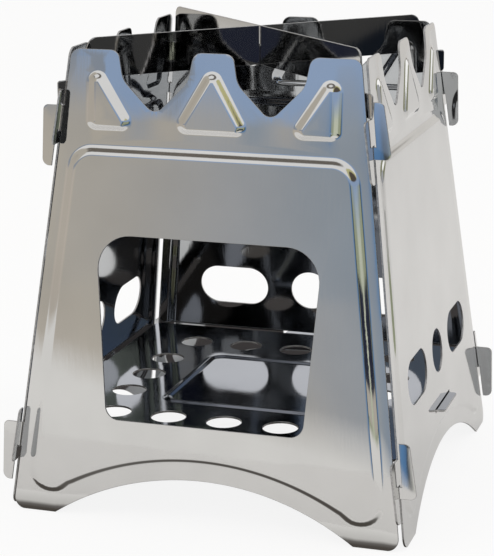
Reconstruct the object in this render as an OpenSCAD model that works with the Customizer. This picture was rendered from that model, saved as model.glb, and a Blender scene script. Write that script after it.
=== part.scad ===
// Flat-pack twig stove: four hooked sheet walls, a perforated base plate and two crossed pot supports.
// Millimetres. Z is up, the ground is z = 0, the stove's axis is x = y = 0 and the fuel window faces -Y.

/* [Walls] */
// Height of the crown above the ground
wall_h = 180; // [150:1:220]
// Width of a wall between its side edges at the ground
foot_w = 156.4; // [140:0.2:180]
// Width of a wall between its side edges at the crown
crown_w = 113.2; // [104:0.2:130]
// Thickness of the wall sheet
sheet = 0.8; // [0.6:0.1:1.2]
// Gap between a wall's side edge and the inner face of the next wall
corner_gap = 1; // [0.8:0.1:1.6]

/* [Crown] */
// Distance of a notch's middle from the wall's middle
notch_x = 22.7; // [21:0.1:25]
// Half width of a notch at its mouth
notch_mouth = 15; // [12:0.1:17]
// Half width of a notch where its flanks start
notch_waist = 13; // [9:0.1:14]
// Depth of a notch, to the point where its flanks would meet
notch_depth = 24; // [18:0.5:28]
// Rounding of the teeth
tooth_round = 3.8; // [1.5:0.1:4.2]
// Rounding where a notch's sides turn into its flanks
waist_round = 9; // [3:0.5:12]
// Rounding of a notch's bottom
notch_round = 4; // [2:0.1:6]

/* [Feet] */
// Distance from the wall's middle to the inner corner of a foot
foot_in = 60.3; // [50:0.1:64]
// Height of the arch between the feet
arch_h = 18.6; // [12:0.1:20]
// Rounding of a foot's outer corner
foot_round = 4.5; // [2:0.1:6]

/* [Fuel window] */
// Height of the window's lower edge, measured up the wall
window_low = 39.5; // [38:0.5:44]
// Height of the window's upper edge, measured up the wall
window_high = 111.2; // [90:0.2:118]
// Half width of the window at its lower edge
window_low_w = 39.4; // [30:0.1:44]
// Half width of the window at its upper edge
window_high_w = 45; // [34:0.1:48]
// Rounding of the upper corners
window_high_round = 13; // [6:0.5:16]
// Rounding of the lower corners
window_low_round = 5.5; // [3:0.5:10]

/* [Vents] */
// Height of the vent row's middle, measured up the wall
vent_s = 55; // [52:0.5:70]
// Diameter of the round vent and height of the long vents
vent_d = 17.5; // [12:0.5:20]
// Length of a long vent
vent_long = 32; // [22:0.5:34]
// Distance from the round vent's middle to a long vent's middle
vent_pitch = 36; // [33:0.5:38]

/* [Raised panels] */
// Width of the slope round a raised panel or triangle
slope_w = 4.6; // [3.4:0.1:5.2]
// Height of a raised panel or triangle above the wall's border
raise_h = 0.9; // [0.6:0.1:1.2]
// Distance from a wall's side edge to the middle of the panel's slope
panel_side = 6; // [5:0.1:9]
// Distance from the crown's top to the middle of the panel's slope, measured down the wall
panel_drop = 38; // [34:0.5:46]
// Distance from the arch to the middle of the panel's slope
panel_arch = 7.8; // [5:0.1:9]
// Rounding of the panel's upper corners
panel_high_round = 9; // [6:0.5:14]
// Rounding of the panel's lower corners
panel_low_round = 7.8; // [5:0.1:9]
// Distance from the crown's top to the base of the raised triangles, measured down the wall
tri_base_drop = 29.4; // [26:0.1:31]
// Height of the middle triangle before its tip is rounded
tri_mid_h = 23.1; // [16:0.1:25]
// Half width of the middle triangle's base
tri_mid_w = 13.6; // [9:0.1:14.5]
// Distance from the wall's side edge at the crown to the upright side of an outer triangle
tri_edge = 8.4; // [7:0.1:10]
// Height of an outer triangle before its tip is rounded
tri_side_h = 25.2; // [18:0.1:27]
// Width of an outer triangle's base
tri_side_w = 16.6; // [12:0.1:18]
// Rounding of the triangles' corners
tri_round = 2.5; // [2.4:0.1:3]

/* [Corner hooks] */
// Height of the lower hook's bottom, measured up the wall
hook_s = 11.3; // [10:0.1:14]
// Distance between the lower and the upper joint, measured up the wall
joint_pitch = 125; // [110:1:126]
// Height of a hook, on a wall's left side
hook_h = 23.4; // [20:0.1:26]
// Reach of a hook past the wall's side edge at its middle
hook_reach = 7.6; // [6.5:0.1:9]
// Height of the neck that joins a hook to its wall
hook_neck = 9.6; // [7:0.1:11]
// Width of the slit behind a hook's finger
hook_slit = 2.3; // [2.2:0.1:3]
// Height of an ear, on a wall's right side
ear_h = 20.8; // [18:0.1:23]
// Height of the bar that joins an ear to its wall
ear_bar = 4.6; // [3:0.1:6]
// Reach of an ear past the wall's side edge at its bottom
ear_low_reach = 8.2; // [7:0.1:9]
// Reach of an ear past the wall's side edge at its top
ear_high_reach = 6.8; // [5.5:0.1:8]
// Width of the slit behind an ear's finger
ear_slit = 2.8; // [2.7:0.1:3.2]
// Rounding of the outer corners of the ears and of a hook's top
hook_round = 2; // [0.8:0.1:2.2]
// Rounding of the outer corner at a hook's lower end
hook_tip_round = 2.8; // [0.8:0.1:3]
// Play between a hook's neck and the ear's bar that it hangs over
joint_play = 0.3; // [0.2:0.05:0.6]

/* [Base plate] */
// Height of the base plate's upper face above the ground
base_z = 33.5; // [31:0.5:36]
// Thickness of the base plate
base_t = 0.8; // [0.6:0.1:1.2]
// Play between the base plate's edges and the walls
base_play = 0.6; // [0.3:0.1:1]
// Rounding of the base plate's corners
base_round = 4; // [2:0.5:8]
// Diameter of a hole in the base plate
hole_d = 14; // [10:0.5:16]
// Distance between neighbouring holes
hole_pitch = 23.2; // [20:0.1:24]
// Number of holes along a side
hole_count = 5; // [3:2:5]
// Distance from the axis to a row of holes
hole_row = 50.4; // [49:0.1:58]
// Half width of the square rib pressed into the base plate
base_rib = 32; // [20:0.5:36]
// Width of the rib at its foot
rib_w = 4.2; // [3.4:0.1:5]
// Width of the rib's crest
rib_crest = 2.4; // [1.6:0.1:2.8]
// Height of the rib's crest above the plate
rib_h = 0.8; // [0.6:0.1:1.4]
// Height of the rib's lower step above the plate
rib_step = 0.45; // [0.3:0.05:0.6]
// Width of the groove under the rib
rib_groove_w = 1.6; // [1:0.1:1.8]
// Depth of the groove under the rib
rib_groove = 0.6; // [0.3:0.05:0.6]
// Rounding of the square rib's corners
base_rib_round = 6; // [4:0.5:10]
// Width of a tab on the base plate
tab_w = 24; // [14:0.5:30]
// Length of a tab past a wall's raised panel
tab_reach = 3.5; // [2:0.1:7]
// Rounding of a tab's corners
tab_round = 1.5; // [0.5:0.1:2]
// Play between a tab and the ends of its slot
tab_play = 1.5; // [0.5:0.1:2]
// Height of the slot that a tab goes through, measured up the wall
slot_h = 1.6; // [1.4:0.1:2.4]
// Play between a tab and the lower edge of its slot
slot_seat = 0.2; // [0.2:0.05:0.3]

/* [Pot supports] */
// Height of the supports' upper edge above the crown
support_rise = 3.4; // [2:0.1:8]
// Height of a support's bar
support_h = 15.6; // [10:0.1:17]
// Thickness of a support
support_t = 0.8; // [0.6:0.1:1]
// Half length of the lower support's upper edge
lower_half = 73.2; // [60:0.1:78]
// Half length of the upper support's upper edge
upper_half = 78.5; // [60:0.1:79]
// Half length of a support between its legs
support_span = 68; // [56:0.5:70]
// Distance from the wall's edges to the shoulder of a leg
support_inset = 1.5; // [0.5:0.1:3]
// Length of the nib that passes out between two walls
nib_reach = 4.2; // [3:0.1:6]
// Height of a nib
nib_h = 8.9; // [6:0.1:10]
// Play between a nib and the hook that carries it
nib_play = 0.3; // [0.2:0.05:0.6]
// Rounding of a support's upper ends
support_round = 4; // [2:0.5:6]
// Rounding of a nib's outer corners
nib_round = 1.2; // [0.5:0.1:2]
// Play of one support in the other's slot
lap_play = 0.6; // [0.4:0.1:1]

/* [Hidden] */
$fn = 64;

// Number of straight pieces in a rounded corner and in the arch
corner_steps = 8;
arch_steps = 32;
// Overlap of joined solids, overshoot of cuts, and least rounding of an outline that is moved inward
joined = 0.1;
past = 1;
least_round = 0.2;

// Wall geometry: u runs across the wall, s up its outer face from the ground
tilt = atan((foot_w - crown_w) / 2 / wall_h);
crown_s = wall_h / cos(tilt);
sheet_across = sheet / cos(tilt);
face_r = foot_w / 2 + corner_gap + sheet_across;
arch_r = (foot_in * foot_in + arch_h * arch_h) / (2 * arch_h);
notch_s = crown_s - notch_depth;
waist_s = notch_s + notch_waist;
ear_s = hook_s + hook_h - hook_neck - joint_play - ear_bar;
hook_x = half_w(hook_s + hook_h / 2) + hook_reach;

// Pot support geometry: e runs along the support, z is the height
support_z = wall_h + support_rise;
nib_z = (hook_s + joint_pitch + hook_h) * cos(tilt) + nib_play;
lap_z = support_z - support_h / 2;

// Half width of a wall at a height measured up its face
function half_w(s) = foot_w / 2 - s * sin(tilt);
// Half width between the wall edges at a height above the ground
function edge_at(z) = foot_w / 2 - z * tan(tilt);
// Distance of a wall's outer face from the axis at a height above the ground
function face_at(z) = face_r - z * tan(tilt);

function unit(v) = v / norm(v);
function turned(v) = [-v.y, v.x];
function angle_of(v) = atan2(v.y, v.x);
function mirrored(points) = [for (i = [len(points) - 1:-1:0]) [-points[i].x, points[i].y, points[i].z]];

// A counter-clockwise outline [x, y, corner radius] with every side moved inward by d
function inset(p, d) = let (n = len(p)) [
    for (i = [0:n - 1])
        let (here = [p[i].x, p[i].y],
             before = p[(i + n - 1) % n],
             after = p[(i + 1) % n],
             a = turned(unit(here - [before.x, before.y])),
             b = turned(unit([after.x, after.y] - here)),
             moved = here + (a + b) * d / (1 + a * b))
        [moved.x, moved.y, p[i].z == 0 ? 0 : max(p[i].z - d, least_round)]];

// Points of one corner: the corner itself, or an arc that touches both of its sides
function corner_points(before, here, after) =
    here.z == 0 ? [[here.x, here.y]] :
    let (p = [here.x, here.y],
         a = unit([before.x, before.y] - p),
         b = unit([after.x, after.y] - p),
         half = acos(a * b) / 2,
         centre = p + unit(a + b) * here.z / sin(half),
         from = angle_of(p + a * here.z / tan(half) - centre),
         to = angle_of(p + b * here.z / tan(half) - centre),
         sweep = (to - from + 540) % 360 - 180)
    [for (k = [0:corner_steps])
        let (t = from + sweep * k / corner_steps)
        centre + here.z * [cos(t), sin(t)]];

function rounded(p) = let (n = len(p)) [
    for (i = [0:n - 1]) each corner_points(p[(i + n - 1) % n], p[i], p[(i + 1) % n])];

// Points of an arch from u = -half to u = half on a circle about the arch's centre
function arch_points(r, half) = [
    for (i = [0:arch_steps])
        let (u = half * (2 * i / arch_steps - 1))
        [u, arch_h - arch_r + sqrt(r * r - u * u), 0]];

// Outline of the notch at u = x, from its right mouth to its left
function notch_points(x) = [
    [x + notch_mouth, crown_s, tooth_round],
    [x + notch_waist, waist_s, waist_round],
    [x, notch_s, notch_round],
    [x - notch_waist, waist_s, waist_round],
    [x - notch_mouth, crown_s, tooth_round]];

// Ear on the right side edge: a bar with a finger that points up, lower end at s
function ear_points(s) = let (top = s + ear_h, bar = s + ear_bar) [
    [half_w(s), s, 0],
    [half_w(s) + ear_low_reach, s, hook_round],
    [half_w(top) + ear_high_reach, top, hook_round],
    [half_w(top) + ear_slit, top, 0],
    [half_w(bar) + ear_slit, bar, 0],
    [half_w(bar), bar, 0]];

// Hook on the left side edge: a neck with a finger that points down, lower end at s
function hook_points(s) = let (
    top = s + hook_h,
    neck = top - hook_neck,
    shift = half_w(s) - half_w(hook_s)) [
    [-half_w(top), top, 0],
    [-hook_x - shift, top, hook_round],
    [-hook_x - shift, s, hook_tip_round],
    [-half_w(s) - hook_slit, s, 0],
    [-half_w(neck) - hook_slit, neck, 0],
    [-half_w(neck), neck, 0]];

// The feet reach below the ground here and are cut level with it afterwards
wall_outline = concat(
    [[-half_w(-past), -past, foot_round + past], [-foot_in, -past, 0]],
    arch_points(arch_r, foot_in),
    [[foot_in, -past, 0], [half_w(-past), -past, foot_round + past]],
    ear_points(ear_s),
    ear_points(ear_s + joint_pitch),
    [[half_w(crown_s), crown_s, tooth_round]],
    notch_points(notch_x),
    notch_points(-notch_x),
    [[-half_w(crown_s), crown_s, tooth_round]],
    hook_points(hook_s + joint_pitch),
    hook_points(hook_s));

// Middle line of the panel's slope, which follows the arch, the side edges and the crown
panel_r = arch_r + panel_arch;
panel_foot_s = arch_h - arch_r + sqrt(panel_r * panel_r - pow(foot_w / 2 - panel_side, 2));
panel_top_s = crown_s - panel_drop;
panel_line = concat(
    [[-half_w(panel_foot_s) + panel_side, panel_foot_s, panel_low_round]],
    arch_points(panel_r, foot_in - 2 * panel_low_round / 3),
    [[half_w(panel_foot_s) - panel_side, panel_foot_s, panel_low_round],
     [half_w(panel_top_s) - panel_side, panel_top_s, panel_high_round],
     [-half_w(panel_top_s) + panel_side, panel_top_s, panel_high_round]]);

tri_base_s = crown_s - tri_base_drop;
tri_mid_line = [
    [-tri_mid_w, tri_base_s, tri_round],
    [tri_mid_w, tri_base_s, tri_round],
    [0, tri_base_s + tri_mid_h, tri_round]];
tri_upright = crown_w / 2 - tri_edge;
tri_right_line = [
    [tri_upright - tri_side_w, tri_base_s, tri_round],
    [tri_upright, tri_base_s, tri_round],
    [tri_upright, tri_base_s + tri_side_h, tri_round]];
tri_left_line = mirrored(tri_right_line);

base_half = face_at(base_z) - sheet_across - base_play;
base_rib_line = [
    [-base_rib, -base_rib, base_rib_round],
    [base_rib, -base_rib, base_rib_round],
    [base_rib, base_rib, base_rib_round],
    [-base_rib, base_rib, base_rib_round]];

module flat(points, low, high) {
    translate([0, 0, low]) linear_extrude(high - low) polygon(rounded(points));
}

// A band of a given width along a closed middle line
module band(line, width, low, high) {
    difference() {
        flat(inset(line, -width / 2), low, high);
        flat(inset(line, width / 2), low - past, high + past);
    }
}

// A panel pressed out of a wall whose outer face is z = 0; its slope rises in two steps
module raised(line) {
    flat(inset(line, -slope_w / 4), -joined, raise_h / 2);
    flat(inset(line, slope_w / 4), -joined, raise_h);
}

// The hollow behind a raised panel, which leaves the sheet as thick as elsewhere
module hollow(line) {
    flat(inset(line, sheet - slope_w / 4), -sheet - past, raise_h / 2 - sheet);
    flat(inset(line, sheet + slope_w / 4), -sheet - past, raise_h - sheet);
}

// A rib pressed out of the base plate, whose upper face is z = 0, as a stepped ridge
module ridge(line) {
    band(line, rib_w, -joined, rib_step);
    band(line, rib_crest, -joined, rib_h);
}

module groove(line) {
    band(line, rib_groove_w, -base_t - past, rib_groove - base_t);
}

module fuel_window() {
    flat([[-window_low_w, window_low, window_low_round],
          [window_low_w, window_low, window_low_round],
          [window_high_w, window_high, window_high_round],
          [-window_high_w, window_high, window_high_round]], -sheet - past, raise_h + past);
}

module hole(u, s, d, thickness) {
    translate([u, s, -thickness - past]) cylinder(d = d, h = thickness + raise_h + 2 * past);
}

module long_vent(u) {
    straight = vent_long - vent_d;
    for (side = [-1, 1]) hole(u + side * straight / 2, vent_s, vent_d, sheet);
    translate([u - straight / 2, vent_s - vent_d / 2, -sheet - past])
        cube([straight, vent_d, sheet + raise_h + 2 * past]);
}

module vents() {
    hole(0, vent_s, vent_d, sheet);
    long_vent(-vent_pitch);
    long_vent(vent_pitch);
}

// Slot whose lower edge carries a tab of the base plate
module tab_slot() {
    low = (base_z - base_t - slot_seat - raise_h * sin(tilt)) / cos(tilt);
    width = tab_w + 2 * tab_play;
    translate([-width / 2, low, -sheet - past]) cube([width, slot_h, sheet + raise_h + 2 * past]);
}

// The pressed sheet of a wall, lying flat with its outer face on z = 0
module wall_sheet() {
    lines = [panel_line, tri_left_line, tri_mid_line, tri_right_line];
    difference() {
        union() {
            flat(wall_outline, -sheet, 0);
            for (line = lines) raised(line);
        }
        for (line = lines) hollow(line);
    }
}

// Leans a flat wall inward and stands it on the ground; turn is 0 for the front and 90 for the right
module stand(turn) {
    rotate([0, 0, turn])
    difference() {
        translate([0, -face_r, 0]) rotate([90 - tilt, 0, 0]) children();
        translate([-foot_w, -foot_w, -foot_w]) cube([2 * foot_w, foot_w, foot_w]);
    }
}

module vented_wall(turn) {
    color("silver")
    stand(turn)
    difference() {
        wall_sheet();
        vents();
        tab_slot();
    }
}

module front_wall() {
    color("silver")
    stand(0)
    difference() {
        wall_sheet();
        fuel_window();
    }
}

module right_wall() { vented_wall(90); }

module back_wall() { vented_wall(180); }

module left_wall() { vented_wall(270); }

// A tab that points to -Y before it is turned
module base_tab(turn) {
    tip = face_at(base_z) + raise_h / cos(tilt) + tab_reach;
    rotate([0, 0, turn])
    flat([[-tab_w / 2, -tip, tab_round],
          [tab_w / 2, -tip, tab_round],
          [tab_w / 2, joined - base_half, 0],
          [-tab_w / 2, joined - base_half, 0]], -base_t, 0);
}

// Holes along the four sides; neighbouring sides share their corner holes
module base_holes() {
    reach = (hole_count - 1) / 2;
    for (side = [-1, 1], i = [-reach:reach]) hole(i * hole_pitch, side * hole_row, hole_d, base_t);
    for (side = [-1, 1], i = [1 - reach:reach - 1]) hole(side * hole_row, i * hole_pitch, hole_d, base_t);
}

module base_plate() {
    color("gainsboro")
    translate([0, 0, base_z])
    difference() {
        union() {
            flat([for (p = base_rib_line)
                  [sign(p.x) * base_half, sign(p.y) * base_half, base_round]], -base_t, 0);
            for (turn = [90, 180, 270]) base_tab(turn);
            ridge(base_rib_line);
        }
        groove(base_rib_line);
        base_holes();
    }
}

// Right half of a support's outline, from the foot of its leg to its upper end at e = half
function support_points(half) = let (
    shoulder_z = nib_z + nib_h,
    shoulder_e = (edge_at(shoulder_z) - support_inset) * sqrt(2),
    tip_e = edge_at(nib_z + nib_h / 2) * sqrt(2) + nib_reach) [
    [support_span, support_z - support_h, 0],
    [support_span, nib_z, 0],
    [tip_e, nib_z, nib_round],
    [tip_e, shoulder_z, nib_round],
    [shoulder_e, shoulder_z, 0],
    [half, support_z, support_round]];

// An upright strip along the X axis, cut half through at its middle
module support(half, cut_low, cut_high) {
    slot = support_t + lap_play;
    difference() {
        rotate([90, 0, 0])
            flat(concat(support_points(half), mirrored(support_points(half))), -support_t / 2, support_t / 2);
        translate([-slot / 2, -support_t, cut_low]) cube([slot, 2 * support_t, cut_high - cut_low]);
    }
}

// Runs from the front left corner to the back right one; its slot is open at the top
module pot_support_lower() {
    color("dimgray") rotate([0, 0, 45]) support(lower_half, lap_z - lap_play / 2, support_z + past);
}

// Runs from the front right corner to the back left one; its slot is open below
module pot_support_upper() {
    color("gray") rotate([0, 0, -45]) support(upper_half, support_z - support_h - past, lap_z + lap_play / 2);
}

front_wall();
right_wall();
back_wall();
left_wall();
base_plate();
pot_support_lower();
pot_support_upper();
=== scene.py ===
"""Twig stove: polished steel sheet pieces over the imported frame, with a studio stage and camera."""
import math

import bpy
import numpy as np
from mathutils import Matrix, Vector
from mathutils.geometry import delaunay_2d_cdt


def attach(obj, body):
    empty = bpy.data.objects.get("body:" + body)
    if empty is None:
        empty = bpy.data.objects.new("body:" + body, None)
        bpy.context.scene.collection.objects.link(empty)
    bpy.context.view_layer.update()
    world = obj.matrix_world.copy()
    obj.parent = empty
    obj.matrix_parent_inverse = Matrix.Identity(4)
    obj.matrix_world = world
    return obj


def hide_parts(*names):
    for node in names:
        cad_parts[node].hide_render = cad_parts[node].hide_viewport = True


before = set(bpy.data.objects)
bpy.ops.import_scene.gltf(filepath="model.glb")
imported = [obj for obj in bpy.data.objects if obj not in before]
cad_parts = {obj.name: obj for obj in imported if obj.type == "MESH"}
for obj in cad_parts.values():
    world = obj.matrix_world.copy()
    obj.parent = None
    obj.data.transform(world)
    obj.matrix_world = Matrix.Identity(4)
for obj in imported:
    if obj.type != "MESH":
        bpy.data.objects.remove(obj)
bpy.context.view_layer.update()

MM = 0.001

# Sizes in millimetres, with the same names and values as in the part's source
WALL_H = 180.0
FOOT_W = 156.4
CROWN_W = 113.2
SHEET = 0.8
CORNER_GAP = 1.0
NOTCH_X = 22.7
NOTCH_MOUTH = 15.0
NOTCH_WAIST = 13.0
NOTCH_DEPTH = 24.0
TOOTH_ROUND = 3.8
WAIST_ROUND = 9.0
NOTCH_ROUND = 4.0
FOOT_IN = 60.3
ARCH_H = 18.6
FOOT_ROUND = 4.5
WINDOW_LOW = 39.5
WINDOW_HIGH = 111.2
WINDOW_LOW_W = 39.4
WINDOW_HIGH_W = 45.0
WINDOW_HIGH_ROUND = 13.0
WINDOW_LOW_ROUND = 5.5
VENT_S = 55.0
VENT_D = 17.5
VENT_LONG = 32.0
VENT_PITCH = 36.0
SLOPE_W = 4.6
RAISE_H = 0.9
PANEL_SIDE = 6.0
PANEL_DROP = 38.0
PANEL_ARCH = 7.8
PANEL_HIGH_ROUND = 9.0
PANEL_LOW_ROUND = 7.8
TRI_BASE_DROP = 29.4
TRI_MID_H = 23.1
TRI_MID_W = 13.6
TRI_EDGE = 8.4
TRI_SIDE_H = 25.2
TRI_SIDE_W = 16.6
TRI_ROUND = 2.5
HOOK_S = 11.3
JOINT_PITCH = 125.0
HOOK_H = 23.4
HOOK_REACH = 7.6
HOOK_NECK = 9.6
HOOK_SLIT = 2.3
EAR_H = 20.8
EAR_BAR = 4.6
EAR_LOW_REACH = 8.2
EAR_HIGH_REACH = 6.8
EAR_SLIT = 2.8
HOOK_ROUND = 2.0
HOOK_TIP_ROUND = 2.8
JOINT_PLAY = 0.3
BASE_Z = 33.5
BASE_T = 0.8
BASE_PLAY = 0.6
BASE_ROUND = 4.0
HOLE_D = 14.0
HOLE_PITCH = 23.2
HOLE_ROW = 50.4
BASE_RIB = 32.0
BASE_RIB_ROUND = 6.0
RIB_W = 4.2
RIB_H = 0.8
TAB_W = 24.0
TAB_REACH = 3.5
TAB_ROUND = 1.5
TAB_PLAY = 1.5
SLOT_H = 1.6
SLOT_SEAT = 0.2
SUPPORT_RISE = 3.4
SUPPORT_H = 15.6
SUPPORT_T = 0.8
LOWER_HALF = 73.2
UPPER_HALF = 78.5
SUPPORT_SPAN = 68.0
SUPPORT_INSET = 1.5
NIB_REACH = 4.2
NIB_H = 8.9
NIB_PLAY = 0.3
SUPPORT_ROUND = 4.0
NIB_ROUND = 1.2
LAP_PLAY = 0.6

# Share of its width that a slope keeps where it faces down, and height, width and outer end of the swelling
# round the triangles
DOWN_SHARE = 0.5
SWELL_H = 0.3
SWELL_R = 7.0
SWELL_END = 49.0

# Slope of the hooks' slight bend, and curve and start of the bend that runs into the ears
HOOK_BEND = 0.05
EAR_BEND = 0.006
EAR_BEND_IN = 3.5

# Rounding of the sheets' cut edges, inset halfway round it as a share, and least rounding of a corner
EDGE = 0.14
EDGE_HALFWAY = 0.3
LEAST_ROUND = 0.03

# Spacing of points on the crown, where the feet end before they are flattened on the ground, distance that
# keeps the two corners at a vent's end apart, and distance below which points are merged
GRID = 2.5
FOOT_LOW = -0.12
APART = 0.01
MERGE = 1e-5

# Number of straight pieces in a rounded corner, the arch and a circle
CORNER_STEPS = 10
ARCH_STEPS = 64
CIRCLE_STEPS = 48

TILT = math.atan((FOOT_W - CROWN_W) / 2 / WALL_H)
CROWN_S = WALL_H / math.cos(TILT)
SHEET_ACROSS = SHEET / math.cos(TILT)
FACE_R = FOOT_W / 2 + CORNER_GAP + SHEET_ACROSS
ARCH_R = (FOOT_IN ** 2 + ARCH_H ** 2) / (2 * ARCH_H)


def half_w(s):
    """Half width of a wall at a distance s up its face."""
    return FOOT_W / 2 - s * math.sin(TILT)


def edge_at(z):
    """Half width of a wall at a height z."""
    return FOOT_W / 2 - z * math.tan(TILT)


def face_at(z):
    """Distance of a wall's outer face from the axis at a height z."""
    return FACE_R - z * math.tan(TILT)


def unit(v):
    return v / np.linalg.norm(v)


def inset(points, d):
    """Moves every side of a counter-clockwise outline (x, y, corner radius) inward by d."""
    moved = []
    count = len(points)
    for i, (x, y, r) in enumerate(points):
        here = np.array((x, y))
        before = np.array(points[i - 1][:2])
        after = np.array(points[(i + 1) % count][:2])
        a = unit(here - before)
        b = unit(after - here)
        a = np.array((-a[1], a[0]))
        b = np.array((-b[1], b[0]))
        p = here + (a + b) * d / (1 + a @ b)
        moved.append((p[0], p[1], r))
    return moved


def turns_left(before, here, after):
    return np.cross(here - before, after - here) > 0


def rounded(points, d=0.0):
    """Points of an outline with its sides moved inward by d and its corners rounded to fit."""
    result = []
    raw = inset(points, d) if d else points
    count = len(raw)
    for i, (x, y, r) in enumerate(raw):
        p = np.array((x, y))
        if r == 0:
            result.append((x, y))
            continue
        before = np.array(raw[i - 1][:2])
        after = np.array(raw[(i + 1) % count][:2])
        r = max(r - d if turns_left(before, p, after) else r + d, LEAST_ROUND)
        a = unit(before - p)
        b = unit(after - p)
        half = math.acos(max(-1.0, min(1.0, a @ b))) / 2
        centre = p + unit(a + b) * r / math.sin(half)
        first = p + a * r / math.tan(half) - centre
        last = p + b * r / math.tan(half) - centre
        start = math.atan2(first[1], first[0])
        sweep = math.atan2(last[1], last[0]) - start
        sweep = (sweep + 3 * math.pi) % (2 * math.pi) - math.pi
        for k in range(CORNER_STEPS + 1):
            t = start + sweep * k / CORNER_STEPS
            result.append((centre[0] + r * math.cos(t), centre[1] + r * math.sin(t)))
    return result


def mirrored(points):
    return [(-x, y, r) for x, y, r in reversed(points)]


def arch_points(r, half):
    """Points from -half to half on a circle of radius r round the arch's centre."""
    points = []
    for i in range(ARCH_STEPS + 1):
        u = half * (2 * i / ARCH_STEPS - 1)
        points.append((u, ARCH_H - ARCH_R + math.sqrt(r * r - u * u), 0))
    return points


def notch_points(x):
    bottom = CROWN_S - NOTCH_DEPTH
    waist = bottom + NOTCH_WAIST
    return [(x + NOTCH_MOUTH, CROWN_S, TOOTH_ROUND),
            (x + NOTCH_WAIST, waist, WAIST_ROUND),
            (x, bottom, NOTCH_ROUND),
            (x - NOTCH_WAIST, waist, WAIST_ROUND),
            (x - NOTCH_MOUTH, CROWN_S, TOOTH_ROUND)]


def ear_points(s):
    top = s + EAR_H
    bar = s + EAR_BAR
    return [(half_w(s), s, 0),
            (half_w(s) + EAR_LOW_REACH, s, HOOK_ROUND),
            (half_w(top) + EAR_HIGH_REACH, top, HOOK_ROUND),
            (half_w(top) + EAR_SLIT, top, 0),
            (half_w(bar) + EAR_SLIT, bar, 0),
            (half_w(bar), bar, 0)]


def hook_points(s):
    top = s + HOOK_H
    neck = top - HOOK_NECK
    x = half_w(HOOK_S + HOOK_H / 2) + HOOK_REACH + half_w(s) - half_w(HOOK_S)
    return [(-half_w(top), top, 0),
            (-x, top, HOOK_ROUND),
            (-x, s, HOOK_TIP_ROUND),
            (-half_w(s) - HOOK_SLIT, s, 0),
            (-half_w(neck) - HOOK_SLIT, neck, 0),
            (-half_w(neck), neck, 0)]


def wall_outline():
    """Outline of a wall with its hooks on the left and its ears on the right: x across, y up the face."""
    ear_s = HOOK_S + HOOK_H - HOOK_NECK - JOINT_PLAY - EAR_BAR
    foot = half_w(FOOT_LOW)
    points = [(-foot, FOOT_LOW, FOOT_ROUND), (-FOOT_IN, FOOT_LOW, 0)]
    points += arch_points(ARCH_R, FOOT_IN)
    points += [(FOOT_IN, FOOT_LOW, 0), (foot, FOOT_LOW, FOOT_ROUND)]
    points += ear_points(ear_s)
    points += ear_points(ear_s + JOINT_PITCH)
    points += [(half_w(CROWN_S), CROWN_S, TOOTH_ROUND)]
    points += notch_points(NOTCH_X)
    points += notch_points(-NOTCH_X)
    points += [(-half_w(CROWN_S), CROWN_S, TOOTH_ROUND)]
    points += hook_points(HOOK_S + JOINT_PITCH)
    points += hook_points(HOOK_S)
    return points


def wall_lines():
    """Middle lines of the slopes round the raised panel and the three raised triangles."""
    r = ARCH_R + PANEL_ARCH
    foot_s = ARCH_H - ARCH_R + math.sqrt(r * r - (FOOT_W / 2 - PANEL_SIDE) ** 2)
    top_s = CROWN_S - PANEL_DROP
    foot_u = half_w(foot_s) - PANEL_SIDE
    top_u = half_w(top_s) - PANEL_SIDE
    panel = [(-foot_u, foot_s, PANEL_LOW_ROUND)]
    panel += arch_points(r, FOOT_IN - 2 * PANEL_LOW_ROUND / 3)
    panel += [(foot_u, foot_s, PANEL_LOW_ROUND),
              (top_u, top_s, PANEL_HIGH_ROUND),
              (-top_u, top_s, PANEL_HIGH_ROUND)]
    base = CROWN_S - TRI_BASE_DROP
    middle = [(-TRI_MID_W, base, TRI_ROUND),
              (TRI_MID_W, base, TRI_ROUND),
              (0, base + TRI_MID_H, TRI_ROUND)]
    upright = CROWN_W / 2 - TRI_EDGE
    right = [(upright - TRI_SIDE_W, base, TRI_ROUND),
             (upright, base, TRI_ROUND),
             (upright, base + TRI_SIDE_H, TRI_ROUND)]
    return [panel, middle, right, mirrored(right)]


def circle(x, y, d):
    angles = [2 * math.pi * i / CIRCLE_STEPS for i in range(CIRCLE_STEPS)]
    return [(x + d / 2 * math.cos(t), y + d / 2 * math.sin(t), 0) for t in angles]


def box_points(x0, y0, x1, y1, r):
    return [(x0, y0, r), (x1, y0, r), (x1, y1, r), (x0, y1, r)]


def long_vent(u):
    half = VENT_LONG / 2
    r = VENT_D / 2
    return box_points(u - half, VENT_S - r, u + half, VENT_S + r, r - APART)


def vents():
    """Holes of a wall without a window: three vents and the slot for the base plate's tab."""
    low = (BASE_Z - BASE_T - SLOT_SEAT - RAISE_H * math.sin(TILT)) / math.cos(TILT)
    half = TAB_W / 2 + TAB_PLAY
    return [circle(0, VENT_S, VENT_D),
            long_vent(-VENT_PITCH),
            long_vent(VENT_PITCH),
            box_points(-half, low, half, low + SLOT_H, 0)]


def fuel_window():
    return [[(-WINDOW_LOW_W, WINDOW_LOW, WINDOW_LOW_ROUND),
             (WINDOW_LOW_W, WINDOW_LOW, WINDOW_LOW_ROUND),
             (WINDOW_HIGH_W, WINDOW_HIGH, WINDOW_HIGH_ROUND),
             (-WINDOW_HIGH_W, WINDOW_HIGH, WINDOW_HIGH_ROUND)]]


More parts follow.
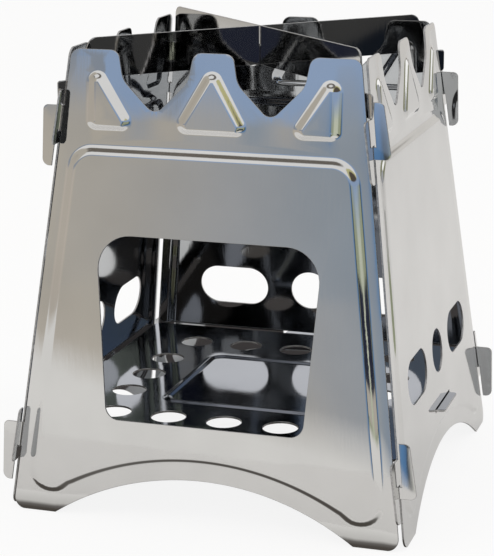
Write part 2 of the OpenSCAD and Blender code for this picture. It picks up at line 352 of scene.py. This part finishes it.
def base_outline():
    half = face_at(BASE_Z) - SHEET_ACROSS - BASE_PLAY
    tip = face_at(BASE_Z) + RAISE_H / math.cos(TILT) + TAB_REACH
    w = TAB_W / 2
    return [(-half, -half, BASE_ROUND),
            (half, -half, BASE_ROUND),
            (half, -w, 0), (tip, -w, TAB_ROUND), (tip, w, TAB_ROUND), (half, w, 0),
            (half, half, BASE_ROUND),
            (w, half, 0), (w, tip, TAB_ROUND), (-w, tip, TAB_ROUND), (-w, half, 0),
            (-half, half, BASE_ROUND),
            (-half, w, 0), (-tip, w, TAB_ROUND), (-tip, -w, TAB_ROUND), (-half, -w, 0)]


def base_holes():
    holes = []
    for side in (-1, 1):
        holes += [circle(i * HOLE_PITCH, side * HOLE_ROW, HOLE_D) for i in range(-2, 3)]
        holes += [circle(side * HOLE_ROW, i * HOLE_PITCH, HOLE_D) for i in range(-1, 2)]
    return holes


def support_outline(half, slot_on_top):
    """Outline of a pot support: x along the strip, y up."""
    top = WALL_H + SUPPORT_RISE
    low = top - SUPPORT_H
    nib_z = (HOOK_S + JOINT_PITCH + HOOK_H) * math.cos(TILT) + NIB_PLAY
    shoulder_z = nib_z + NIB_H
    shoulder = (edge_at(shoulder_z) - SUPPORT_INSET) * math.sqrt(2)
    tip = edge_at(nib_z + NIB_H / 2) * math.sqrt(2) + NIB_REACH
    right = [(SUPPORT_SPAN, low, 0),
             (SUPPORT_SPAN, nib_z, 0),
             (tip, nib_z, NIB_ROUND),
             (tip, shoulder_z, NIB_ROUND),
             (shoulder, shoulder_z, 0),
             (half, top, SUPPORT_ROUND)]
    slot = (SUPPORT_T + LAP_PLAY) / 2
    middle = top - SUPPORT_H / 2
    if slot_on_top:
        cut = middle - LAP_PLAY / 2
        return right + [(slot, top, 0), (slot, cut, 0), (-slot, cut, 0), (-slot, top, 0)] + mirrored(right)
    cut = middle + LAP_PLAY / 2
    return [(-slot, low, 0), (-slot, cut, 0), (slot, cut, 0), (slot, low, 0)] + right + mirrored(right)


def inside(points, loop):
    """Which of the points lie inside a closed loop."""
    x = points[:, 0]
    y = points[:, 1]
    hit = np.zeros(len(points), bool)
    for (x0, y0), (x1, y1) in zip(loop, loop[1:] + loop[:1]):
        if y0 == y1:
            continue
        crosses = (y0 > y) != (y1 > y)
        hit ^= crosses & (x < (x1 - x0) * (y - y0) / (y1 - y0) + x0)
    return hit


def contours(line, width):
    """Loops on both sides of a line, close enough together to carry a pressed slope or rib."""
    shares = (-1.1, -1.0, -0.88, -0.75, -0.6, -0.45, -0.3, -0.15, 0.0,
              0.15, 0.3, 0.45, 0.6, 0.75, 0.88, 1.0, 1.1)
    return [rounded(line, share * width / 2) for share in shares]


def to_segment(x, y, a, b):
    """Distance of points from the straight line between a and b."""
    dx = b[0] - a[0]
    dy = b[1] - a[1]
    t = np.clip(((x - a[0]) * dx + (y - a[1]) * dy) / (dx * dx + dy * dy), 0, 1)
    return np.hypot(x - a[0] - t * dx, y - a[1] - t * dy)


def to_loop(x, y, loop):
    """Distance of points from a closed loop."""
    return np.min([to_segment(x, y, a, b) for a, b in zip(loop, loop[1:] + loop[:1])], axis=0)


def depth_in(x, y, line):
    """How far points lie inside a line, or outside it as a negative value."""
    loop = rounded(line)
    away = to_loop(x, y, loop)
    return np.where(inside(np.column_stack((x, y)), loop), away, -away)


def pressed(x, y, line):
    """How far a panel's slope has risen, from 0 outside to 1 inside. It is steeper where it faces down."""
    depth = depth_in(x, y, line)
    upward = (depth_in(x, y + EDGE, line) - depth_in(x, y - EDGE, line)) / (2 * EDGE)
    width = SLOPE_W * (1 - (1 - DOWN_SHARE) * np.clip(upward, 0, 1) ** 2)
    return 0.5 + 0.5 * np.sin(np.pi / 2 * np.clip(2 * depth / width, -1, 1))


def wall_height(x, y):
    """Height of a wall's outer face: panel, triangles and swelling round them, hooks and ears bent back."""
    lines = wall_lines()
    height = np.zeros(len(x))
    for line in lines:
        height += RAISE_H * pressed(x, y, line)
    for line in lines[1:]:
        away = np.maximum(-depth_in(x, y, line), 0)
        inward = np.clip((SWELL_END - abs(x)) / SWELL_R, 0, 1)
        height += SWELL_H * np.exp(-(away / SWELL_R) ** 2) * inward ** 2 * (3 - 2 * inward)
    edge = FOOT_W / 2 - y * math.sin(TILT)
    height -= HOOK_BEND * np.maximum(-x - edge, 0)
    return height - EAR_BEND * np.maximum(x - edge + EAR_BEND_IN, 0) ** 2


def plate_height(x, y):
    """Height of the base plate's upper face: flat but for its square rib."""
    share = np.clip(2 * depth_in(x, y, base_rib_line) / RIB_W, -1, 1)
    return RIB_H * np.cos(np.pi / 2 * share) ** 2


def level(x, y):
    return np.zeros(len(x))


def crown_grid(outline, lines):
    """Points over the crown, clear of its edges and slopes, that let the sheet swell there."""
    steps = np.arange(-CROWN_W / 2, CROWN_W / 2, GRID)
    rows = np.arange(CROWN_S - PANEL_DROP - 3 * GRID, CROWN_S, GRID)
    x, y = [axis.ravel() for axis in np.meshgrid(steps, rows)]
    clear = inside(np.column_stack((x, y)), rounded(outline, GRID / 2))
    for line in lines:
        clear &= abs(depth_in(x, y, line)) > SLOPE_W / 2 + GRID / 2
    return list(zip(x[clear], y[clear]))


def filled(rims, lines, grid):
    """Triangles between an outline and its holes that keep to the given lines and points.

    Returns the points, the triangles and where each given point is among the points.
    """
    flat = []
    edges = []
    for loop in rims + lines:
        first = len(flat)
        count = len(loop)
        flat += [Vector(p) for p in loop]
        edges += [(first + i, first + (i + 1) % count) for i in range(count)]
    flat += [Vector(p) for p in grid]
    points, _, faces, origins, _, _ = delaunay_2d_cdt(flat, edges, [], 0, MERGE)
    middles = np.array([np.mean([points[i] for i in face], axis=0) for face in faces])
    keep = inside(middles, rims[0])
    for hole in rims[1:]:
        keep &= ~inside(middles, hole)
    where = {given: i for i, origin in enumerate(origins) for given in origin}
    return points, [tuple(face) for face, good in zip(faces, keep) if good], where


def pressed_normals(co, triangles, quads, height):
    """Normals at a flat sheet's points, tilted as they are once it is pressed to the given height."""
    normals = np.zeros(co.shape)
    t = np.array(triangles)
    q = np.array(quads)
    across = np.cross(co[t[:, 1]] - co[t[:, 0]], co[t[:, 2]] - co[t[:, 0]])
    np.add.at(normals, t, across[:, None, :])
    across = np.cross(co[q[:, 2]] - co[q[:, 0]], co[q[:, 3]] - co[q[:, 1]])
    np.add.at(normals, q, across[:, None, :])
    x = co[:, 0]
    y = co[:, 1]
    normals[:, 0] -= (height(x + EDGE, y) - height(x - EDGE, y)) / (2 * EDGE) * normals[:, 2]
    normals[:, 1] -= (height(x, y + EDGE) - height(x, y - EDGE)) / (2 * EDGE) * normals[:, 2]
    return normals


def sheet_mesh(name, outline, holes, lines, thickness, height, place, grid=()):
    """A pressed sheet with rounded cut edges, its outer face at the given height, moved to its place."""
    halfway = EDGE_HALFWAY * EDGE
    rim = [(EDGE, 0), (halfway, halfway), (0, EDGE),
           (0, thickness - EDGE), (halfway, thickness - halfway), (EDGE, thickness)]
    loops = [[rounded(outline, e) for e, depth in rim]]
    loops += [[rounded(hole, -e) for e, depth in rim] for hole in holes]
    points, outer_faces, where = filled([rings[0] for rings in loops], lines, grid)
    verts = [(p[0], p[1], 0) for p in points]
    base = len(verts)
    verts += [(p[0], p[1], -thickness) for p in points]
    triangles = outer_faces + [tuple(base + i for i in reversed(face)) for face in outer_faces]
    quads = []
    first = 0
    for k, rings in enumerate(loops):
        count = len(rings[0])
        outer = [where[first + i] for i in range(count)]
        rows = [outer]
        for (e, depth), ring in list(zip(rim, rings))[1:-1]:
            start = len(verts)
            verts += [(x, y, -depth) for x, y in ring]
            rows.append(list(range(start, start + count)))
        rows.append([base + i for i in outer])
        for a, b in zip(rows, rows[1:]):
            for i in range(count):
                j = (i + 1) % count
                quad = (a[i], b[i], b[j], a[j])
                quads.append(quad if k == 0 else quad[::-1])
        first += count
    co = np.array(verts, float)
    normals = pressed_normals(co, triangles, quads, height)
    co[:, 2] += height(co[:, 0], co[:, 1])
    turn = np.array(place.to_3x3())
    co = co @ turn.T + np.array(place.translation)
    co[:, 2] = np.maximum(co[:, 2], 0.0)
    normals = normals @ turn.T
    length = np.linalg.norm(normals, axis=1)
    length[length == 0] = 1.0
    mesh = bpy.data.meshes.new(name)
    mesh.from_pydata((co * MM).tolist(), [], triangles + quads)
    mesh.update()
    for face in mesh.polygons:
        face.use_smooth = True
        face.material_index = face.index // len(outer_faces) if face.index < len(triangles) else 2
    mesh.normals_split_custom_set_from_vertices((normals / length[:, None]).tolist())
    piece = bpy.data.objects.new(name, mesh)
    bpy.context.collection.objects.link(piece)
    return piece


def shader(name):
    material = bpy.data.materials.new(name)
    material.use_nodes = True
    nodes = material.node_tree.nodes
    return material, nodes, material.node_tree.links, nodes["Principled BSDF"]


def noise(nodes, links, coords, scale, detail, stretch=(1, 1, 1)):
    mapping = nodes.new("ShaderNodeMapping")
    mapping.inputs["Scale"].default_value = stretch
    links.new(coords, mapping.inputs["Vector"])
    made = nodes.new("ShaderNodeTexNoise")
    made.inputs["Scale"].default_value = scale
    made.inputs["Detail"].default_value = detail
    links.new(mapping.outputs["Vector"], made.inputs["Vector"])
    return made.outputs["Fac"]


def ramp(nodes, links, value, low, high, start=0.3, end=0.7):
    """Goes from low to high as a value goes from start to end."""
    made = nodes.new("ShaderNodeMapRange")
    made.inputs["From Min"].default_value = start
    made.inputs["From Max"].default_value = end
    made.inputs["To Min"].default_value = low
    made.inputs["To Max"].default_value = high
    links.new(value, made.inputs["Value"])
    return made.outputs["Result"]


def mixed(nodes, links, factor, first, second):
    """A blend of two colours, each of which is a plain colour or the output of a node."""
    made = nodes.new("ShaderNodeMix")
    made.data_type = "RGBA"
    links.new(factor, made.inputs["Factor"])
    for name, colour in (("A", first), ("B", second)):
        if isinstance(colour, tuple):
            made.inputs[name].default_value = colour + (1,)
        else:
            links.new(colour, made.inputs[name])
    return made.outputs["Result"]


# Range of the steel's tone as shares, how many times as rough smudges are, and colours of the cut edge
TONE_LOW = 0.94
TONE_HIGH = 1.03
SMUDGE_ROUGH = 2.2
CUT_DARK = (0.30, 0.295, 0.29)
CUT_LIGHT = (0.52, 0.51, 0.50)


def polished_steel(name, tone, rough):
    """Mirror-polished sheet: slight waves, faint smudges and a fine polishing grain."""
    material, nodes, links, bsdf = shader(name)
    coords = nodes.new("ShaderNodeTexCoord").outputs["Object"]
    bsdf.inputs["Metallic"].default_value = 1.0
    dark = tuple(TONE_LOW * c for c in tone)
    light = tuple(TONE_HIGH * c for c in tone)
    patches = ramp(nodes, links, noise(nodes, links, coords, scale=28, detail=3), 0, 1)
    links.new(mixed(nodes, links, patches, dark, light), bsdf.inputs["Base Color"])
    smudges = noise(nodes, links, coords, scale=45, detail=5)
    roughness = ramp(nodes, links, smudges, rough, SMUDGE_ROUGH * rough, start=0.4, end=0.75)
    links.new(roughness, bsdf.inputs["Roughness"])
    waves = nodes.new("ShaderNodeBump")
    waves.inputs["Strength"].default_value = 0.05
    waves.inputs["Distance"].default_value = 0.004
    links.new(noise(nodes, links, coords, scale=22, detail=1), waves.inputs["Height"])
    grain = nodes.new("ShaderNodeBump")
    grain.inputs["Strength"].default_value = 0.012
    grain.inputs["Distance"].default_value = 0.0005
    strokes = noise(nodes, links, coords, scale=900, detail=2, stretch=(1, 1, 0.08))
    links.new(strokes, grain.inputs["Height"])
    links.new(waves.outputs["Normal"], grain.inputs["Normal"])
    links.new(grain.outputs["Normal"], bsdf.inputs["Normal"])
    return material


def cut_edge():
    """Laser-cut edge of the sheet: darker and duller than its faces, with a fine grain."""
    material, nodes, links, bsdf = shader("cut_edge")
    coords = nodes.new("ShaderNodeTexCoord").outputs["Object"]
    bsdf.inputs["Metallic"].default_value = 1.0
    grain = noise(nodes, links, coords, scale=1400, detail=3)
    colour = mixed(nodes, links, ramp(nodes, links, grain, 0, 1), CUT_DARK, CUT_LIGHT)
    links.new(colour, bsdf.inputs["Base Color"])
    links.new(ramp(nodes, links, grain, low=0.26, high=0.42), bsdf.inputs["Roughness"])
    return material


steel = polished_steel("polished_steel", tone=(0.63, 0.625, 0.615), rough=0.035)
# Darker, bluer copy of the steel for the walls' inner faces: painted shade for the stove's shadowed inside
shaded_inner_steel = polished_steel("shaded_inner_steel", tone=(0.49, 0.505, 0.52), rough=0.05)
# Much darker, bluish copy of the steel for the base plate: painted shade, as the plate lies in the shade
# inside the stove
shaded_plate_steel = polished_steel("shaded_plate_steel", tone=(0.18, 0.19, 0.215), rough=0.05)
edge_steel = cut_edge()


def place_piece(piece, outer, inner, node, body):
    for material in (outer, inner, edge_steel):
        piece.data.materials.append(material)
    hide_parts(node)
    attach(piece, body)


def turned_matrix(angle):
    return Matrix.Rotation(math.radians(angle), 4, "Z")


lean = Matrix.Translation((0, -FACE_R, 0)) @ Matrix.Rotation(math.pi / 2 - TILT, 4, "X")
for node, turn in (("front_wall", 0), ("right_wall", 90), ("back_wall", 180), ("left_wall", 270)):
    holes = fuel_window() if node == "front_wall" else vents()
    loops = [loop for line in wall_lines() for loop in contours(line, SLOPE_W)]
    wall = sheet_mesh("skin_" + node, wall_outline(), holes, loops, SHEET, wall_height,
                      turned_matrix(turn) @ lean, crown_grid(wall_outline(), wall_lines()))
    place_piece(wall, steel, shaded_inner_steel, node, "stove")

base_rib_line = box_points(-BASE_RIB, -BASE_RIB, BASE_RIB, BASE_RIB, BASE_RIB_ROUND)
plate = sheet_mesh("skin_base_plate", base_outline(), base_holes(), contours(base_rib_line, RIB_W), BASE_T,
                   plate_height, Matrix.Translation((0, 0, BASE_Z)))
place_piece(plate, shaded_plate_steel, shaded_plate_steel, "base_plate", "stove")

upright = Matrix.Rotation(math.pi / 2, 4, "X") @ Matrix.Translation((0, 0, SUPPORT_T / 2))
for node, turn, half, on_top, body in (("pot_support_lower", 45, LOWER_HALF, True, "support_lower"),
                                       ("pot_support_upper", -45, UPPER_HALF, False, "support_upper")):
    strip = sheet_mesh("skin_" + node, support_outline(half, on_top), [], [], SUPPORT_T, level,
                       turned_matrix(turn) @ upright)
    place_piece(strip, steel, steel, node, body)


# Stage: white floor and world, and reflector cards that only reflections show
def calc(nodes, links, operation, first, second):
    """A calculation on two inputs, of which the second may be a plain number."""
    made = nodes.new("ShaderNodeMath")
    made.operation = operation
    links.new(first, made.inputs[0])
    if isinstance(second, (int, float)):
        made.inputs[1].default_value = second
    else:
        links.new(second, made.inputs[1])
    return made.outputs["Value"]


def seen_rays(nodes, links, camera_share, mirror_share):
    """How much of its own glow a surface shows to camera rays, and to glossy and transmission rays."""
    path = nodes.new("ShaderNodeLightPath")
    mirror = calc(nodes, links, "MAXIMUM", path.outputs["Is Glossy Ray"], path.outputs["Is Transmission Ray"])
    camera = calc(nodes, links, "MULTIPLY", path.outputs["Is Camera Ray"], camera_share)
    return calc(nodes, links, "MAXIMUM", camera, calc(nodes, links, "MULTIPLY", mirror, mirror_share))


world = bpy.data.worlds.new("studio")
bpy.context.scene.world = world
world.use_nodes = True
nodes = world.node_tree.nodes
links = world.node_tree.links
seen = seen_rays(nodes, links, camera_share=1, mirror_share=1)
links.new(mixed(nodes, links, seen, (0.8, 0.8, 0.8), (1, 1, 1)), nodes["Background"].inputs["Color"])


def plane(name, corners, material):
    mesh = bpy.data.meshes.new(name)
    mesh.from_pydata(corners, [], [tuple(range(len(corners)))])
    piece = bpy.data.objects.new(name, mesh)
    bpy.context.collection.objects.link(piece)
    mesh.materials.append(material)
    return piece


def stage_material(name):
    material = bpy.data.materials.new(name)
    material.use_nodes = True
    nodes = material.node_tree.nodes
    nodes.clear()
    return material, nodes, material.node_tree.links, nodes.new("ShaderNodeOutputMaterial").inputs["Surface"]


def white_floor():
    material, nodes, links, surface = stage_material("floor_white")
    diffuse = nodes.new("ShaderNodeBsdfDiffuse")
    diffuse.inputs["Color"].default_value = (0.84, 0.82, 0.795, 1)
    glow = nodes.new("ShaderNodeEmission")
    glow.inputs["Color"].default_value = (1, 1, 1, 1)
    blend = nodes.new("ShaderNodeMixShader")
    links.new(seen_rays(nodes, links, camera_share=0.88, mirror_share=0.3), blend.inputs["Fac"])
    links.new(diffuse.outputs["BSDF"], blend.inputs[1])
    links.new(glow.outputs["Emission"], blend.inputs[2])
    links.new(blend.outputs["Shader"], surface)
    return material


# In metres: half width and height of the floor, height of cards that lie on it, half width, front and top of
# the room that the cards make, and where the table in front ends
FLOOR = 4
FLOOR_Z = -0.0003
CARD_Z = -0.0001
ROOM = 2.4
ROOM_FRONT = -2.2
ROOM_TOP = 2.2
TABLE_END = -0.3
plane("floor", [(-FLOOR, -FLOOR, FLOOR_Z), (FLOOR, -FLOOR, FLOOR_Z), (FLOOR, FLOOR, FLOOR_Z),
                (-FLOOR, FLOOR, FLOOR_Z)], white_floor())


def colour_ramp(nodes, links, value, stops):
    """Colours at values of an input that may have any range."""
    low = stops[0][0]
    high = stops[-1][0]
    made = nodes.new("ShaderNodeValToRGB")
    elements = made.color_ramp.elements
    while len(elements) < len(stops):
        elements.new(0.5)
    for element, (position, colour) in zip(elements, stops):
        element.position = (position - low) / (high - low)
        element.color = tuple(colour) + (1,)
    links.new(ramp(nodes, links, value, 0, 1, low, high), made.inputs["Fac"])
    return made.outputs["Color"]


def card(name, corners, colours):
    """A card that only mirror rays see. colours makes its colour from the card's place in the room."""
    material, nodes, links, surface = stage_material(name)
    coords = nodes.new("ShaderNodeTexCoord")
    split = nodes.new("ShaderNodeSeparateXYZ")
    links.new(coords.outputs["Object"], split.inputs["Vector"])
    glow = nodes.new("ShaderNodeEmission")
    links.new(colours(nodes, links, split.outputs), glow.inputs["Color"])
    links.new(glow.outputs["Emission"], surface)
    piece = plane(name, corners, material)
    piece.visible_camera = False
    piece.visible_shadow = False
    piece.visible_diffuse = False
    return piece


# Colours that the cards share
BLACK = (0.05, 0.05, 0.05)
NIGHT = (0.008, 0.011, 0.017)
NAVY = (0.03, 0.035, 0.06)
HAZE = (0.07, 0.07, 0.08)
DUSK = (0.16, 0.14, 0.12)
DIM = (0.3, 0.3, 0.31)
MILD = (0.4, 0.4, 0.41)
GREY = (0.5, 0.5, 0.5)
SOFT = (0.60, 0.58, 0.55)
PALE = (0.78, 0.76, 0.73)
PAPER = (0.94, 0.93, 0.91)
CREAM = (0.95, 0.94, 0.92)
WHITE = (1.0, 1.0, 1.0)
GLARE = (1.4, 1.4, 1.4)
BEIGE = (0.60, 0.56, 0.49)
SAND = (0.62, 0.57, 0.50)
LINDEN = (0.70, 0.74, 0.60)
GREEN = (0.42, 0.46, 0.32)
OLIVE = (0.30, 0.31, 0.20)
YELLOW = (0.66, 0.63, 0.33)

# Colours of the room in front by the tangent of the angle from straight ahead: at eye level, and in the bands
# above it
AROUND = [(-1.7, (0.55, 0.50, 0.45)), (-0.8, (0.66, 0.60, 0.53)), (-0.5, BEIGE), (-0.4, (0.55, 0.525, 0.48)),
          (-0.31, (0.47, 0.485, 0.505)), (-0.22, (0.37, 0.425, 0.49)), (-0.13, (0.33, 0.40, 0.50)),
          (-0.08, (0.14, 0.30, 0.55)), (-0.02, (0.12, 0.26, 0.50)), (0.02, (0.08, 0.10, 0.12)),
          (0.06, (0.10, 0.11, 0.10)), (0.11, GREEN), (0.30, GREEN), (0.36, LINDEN), (0.5, LINDEN),
          (0.55, BLACK), (1.4, BLACK)]
SKY = [(-1.4, (0.40, 0.42, 0.45)), (-0.445, (0.33, 0.38, 0.46)), (-0.405, (0.37, 0.50, 0.73)),
       (1.4, (0.36, 0.48, 0.70))]
WINDOW = [(-1.4, BEIGE), (-0.75, BEIGE), (-0.65, WHITE), (0.12, WHITE), (0.15, YELLOW), (0.20, YELLOW),
          (0.23, (0.12, 0.10, 0.08)), (1.4, BLACK)]
CEILING = [(-1.4, BEIGE), (-0.75, BEIGE), (-0.65, (0.20, 0.18, 0.155)), (1.4, (0.12, 0.11, 0.11))]

# Heights between which one band of the room in front passes into the next
SKY_Z = (0.27, 0.38)
WINDOW_Z = (0.54, 0.62)
CEILING_Z = (1.40, 1.55)
LAMP_Z = (1.70, 1.78)

# Paper on the table: slant of its edge, the span in which it passes into the room's colours, the spans at the
# edges of its near part on the right, and the point on the object from which the room beyond it is seen
PAPER_SLANT = 1.2
PAPER_EDGE = (-0.47, -0.31)
NEAR_Y = (-0.70, -0.58)
NEAR_X = (0.085, 0.11)
SEEN_FROM = (0.08, -0.08)

# Heights between which the back of the room passes from pale to its horizon and on to bright paper
HORIZON_Z = (0.23, 0.29)
BACK_PAPER_Z = (0.36, 0.46)


def through(nodes, links, value, span):
    """Goes from 0 to 1 as a value goes through a span."""
    return ramp(nodes, links, value, 0, 1, span[0], span[1])


def around(nodes, links, place, stops, seen_from=(0.0, 0.0)):
    """Colour of the room in the direction of a place, as seen from a point on the object."""
    sideways = calc(nodes, links, "SUBTRACT", place["X"], seen_from[0])
    ahead = calc(nodes, links, "MULTIPLY", calc(nodes, links, "SUBTRACT", place["Y"], seen_from[1]), -1)
    return colour_ramp(nodes, links, calc(nodes, links, "DIVIDE", sideways, ahead), stops)


def front_colours(nodes, links, place):
    """The room in front, in bands from the table up: things at eye level, sky, window, ceiling and lamp."""
    colour = around(nodes, links, place, AROUND)
    for span, stops in ((SKY_Z, SKY), (WINDOW_Z, WINDOW), (CEILING_Z, CEILING)):
        factor = through(nodes, links, place["Z"], span)
        colour = mixed(nodes, links, factor, colour, around(nodes, links, place, stops))
    return mixed(nodes, links, through(nodes, links, place["Z"], LAMP_Z), colour, WHITE)


def table_colours(nodes, links, place):
    """The table in front: paper up to a slanting edge and on the near right, the room's colours beyond it."""
    stops = [(-1.4, SAND), (-1.0, PAPER), (0.4, PAPER), (0.7, BLACK)]
    paper = colour_ramp(nodes, links, place["X"], stops)
    behind = calc(nodes, links, "SUBTRACT", place["Y"],
                  calc(nodes, links, "MULTIPLY", place["X"], PAPER_SLANT))
    near = calc(nodes, links, "MULTIPLY", through(nodes, links, place["Y"], NEAR_Y),
                through(nodes, links, place["X"], NEAR_X))
    on_paper = calc(nodes, links, "MAXIMUM", through(nodes, links, behind, PAPER_EDGE), near)
    return mixed(nodes, links, on_paper, around(nodes, links, place, AROUND, SEEN_FROM), paper)


def back_colours(nodes, links, place):
    """Behind the object: pale up to a horizon, dark or olive there by place, with bright paper above it."""
    pale = colour_ramp(nodes, links, place["X"],
                       [(-ROOM, PALE), (1.15, PALE), (1.4, OLIVE), (ROOM, OLIVE)])
    horizon = colour_ramp(nodes, links, place["X"],
                          [(-ROOM, DUSK), (0.85, DUSK), (1.02, SOFT), (1.15, SOFT),
                           (1.4, OLIVE), (ROOM, OLIVE)])
    low = mixed(nodes, links, through(nodes, links, place["Z"], HORIZON_Z), pale, horizon)
    high = colour_ramp(nodes, links, place["Z"],
                       [(0.4, GLARE), (1.0, GLARE), (1.2, BLACK), (ROOM_TOP, BLACK)])
    return mixed(nodes, links, through(nodes, links, place["Z"], BACK_PAPER_Z), low, high)


def along(axis, stops):
    """Colours of a card that change along one axis."""
    return lambda nodes, links, place: colour_ramp(nodes, links, place[axis], stops)


def lying_card(name, corners, colours):
    """A card on the floor with the given corners."""
    return card(name, [(x, y, CARD_Z) for x, y in corners], colours)


def standing_card(name, start, end, colours, low=CARD_Z, high=ROOM_TOP):
    """An upright card between two places on the floor."""
    return card(name, [start + (low,), end + (low,), end + (high,), start + (high,)], colours)


# The room in front, the table there, the shade under the object, and dark, green and pale parts of the table
standing_card("card_front", (-ROOM, ROOM_FRONT), (ROOM, ROOM_FRONT), front_colours)
lying_card("card_table", [(-ROOM, ROOM_FRONT), (ROOM, ROOM_FRONT), (ROOM, TABLE_END), (-ROOM, TABLE_END)],
           table_colours)
lying_card("card_shadow",
           [(-0.1, -0.125), (0.1, -0.125), (0.078, -0.07), (0.07, 0.08), (-0.07, 0.08), (-0.078, -0.07)],
           along("Y", [(-0.125, CREAM), (-0.10, (0.75, 0.74, 0.72)), (-0.093, (0.2, 0.19, 0.18)),
                       (-0.086, (0.10, 0.09, 0.08)), (0.08, (0.08, 0.07, 0.07))]))
lying_card("card_table_dark", [(0.6, TABLE_END), (2.0, TABLE_END), (2.0, 0.0), (0.6, 0.0)],
           along("X", [(0.6, (0.8, 0.8, 0.79)), (0.75, NIGHT), (1.8, NIGHT), (2.0, GREY)]))
lying_card("card_table_right", [(0.45, 0.0), (ROOM, 0.0), (ROOM, 1.3), (1.5, 1.3), (0.45, 0.3)],
           along("X", [(0.12, (0.62, 0.62, 0.40)), (0.3, GREEN), (0.8, (0.34, 0.37, 0.26)),
                       (1.1, (0.55, 0.55, 0.53)), (ROOM, GREY)]))
lying_card("card_table_left", [(-ROOM, TABLE_END), (-0.6, TABLE_END), (-0.8, 1.0), (-ROOM, 1.0)],
           along("X", [(-1.7, (0.50, 0.47, 0.42)), (-1.1, (0.85, 0.84, 0.82)), (-0.6, CREAM)]))

# The other sides of the room, a dark thing with a pale foot in front of the object, and the top
standing_card("card_left", (-ROOM, ROOM_FRONT), (-ROOM, ROOM),
              along("Z", [(0.0, SAND), (1.4, (0.55, 0.51, 0.44)), (1.7, DIM), (ROOM_TOP, MILD)]))
standing_card("card_right", (ROOM, ROOM_FRONT), (ROOM, ROOM),
              along("Z", [(0.0, (0.45, 0.46, 0.48)), (0.35, (0.52, 0.54, 0.57)), (0.6, (0.40, 0.42, 0.45)),
                          (0.9, HAZE), (1.5, DIM), (ROOM_TOP, MILD)]))
standing_card("card_back", (-ROOM, ROOM), (ROOM, ROOM), back_colours)
standing_card("card_dark", (0.12, -0.75), (0.30, -0.75),
              along("Z", [(0.0, BEIGE), (0.028, BEIGE), (0.034, NAVY), (0.12, NAVY)]), low=0.0, high=0.12)
card("card_top", [(-ROOM, ROOM_FRONT, ROOM_TOP), (ROOM, ROOM_FRONT, ROOM_TOP), (ROOM, ROOM, ROOM_TOP),
                  (-ROOM, ROOM, ROOM_TOP)],
     along("X", [(-ROOM, (0.9, 0.9, 0.92)), (ROOM, (0.9, 0.9, 0.9))]))


def area_light(name, place, target, size, power, colour):
    lamp = bpy.data.lights.new(name, "AREA")
    lamp.shape = "RECTANGLE"
    lamp.size = size[0]
    lamp.size_y = size[1]
    lamp.energy = power
    lamp.color = colour
    piece = bpy.data.objects.new(name, lamp)
    piece.location = place
    piece.rotation_euler = (Vector(target) - Vector(place)).to_track_quat("-Z", "Y").to_euler()
    piece.visible_glossy = False
    bpy.context.collection.objects.link(piece)
    return piece


MIDDLE = (0, 0, 0.09)
area_light("key", (-0.9, -0.9, 1.3), MIDDLE, size=(0.7, 0.5), power=5, colour=(1, 0.98, 0.95))
area_light("fill", (1.2, 0.3, 1.1), MIDDLE, size=(0.8, 0.6), power=4, colour=(0.95, 0.98, 1))

# Camera fitted to the photograph: place in millimetres, angles in radians, focal length and picture height in
# pixels, and sensor width in millimetres
CAMERA_PLACE = (223.009, -711.631, 276.927)
YAW = -0.3117
PITCH = -0.2590
ROLL = -0.0066
FOCAL_PX = 1870.9
IMAGE_H = 556
SENSOR = 36
forward = Vector((math.sin(YAW) * math.cos(PITCH), math.cos(YAW) * math.cos(PITCH), math.sin(PITCH)))
level_right = Vector((math.cos(YAW), -math.sin(YAW), 0))
level_up = level_right.cross(forward)
right = math.cos(ROLL) * level_right + math.sin(ROLL) * level_up
up = -math.sin(ROLL) * level_right + math.cos(ROLL) * level_up
lens = bpy.data.cameras.new("camera")
lens.sensor_fit = "AUTO"
lens.sensor_width = SENSOR
lens.lens = FOCAL_PX / IMAGE_H * SENSOR
lens.clip_end = 50
camera = bpy.data.objects.new("camera", lens)
facing = Matrix((right, up, -forward)).transposed().to_4x4()
camera.matrix_world = Matrix.Translation(Vector(CAMERA_PLACE) * MM) @ facing
bpy.context.collection.objects.link(camera)
bpy.context.scene.camera = camera
bpy.context.scene.view_settings.view_transform = "Standard"
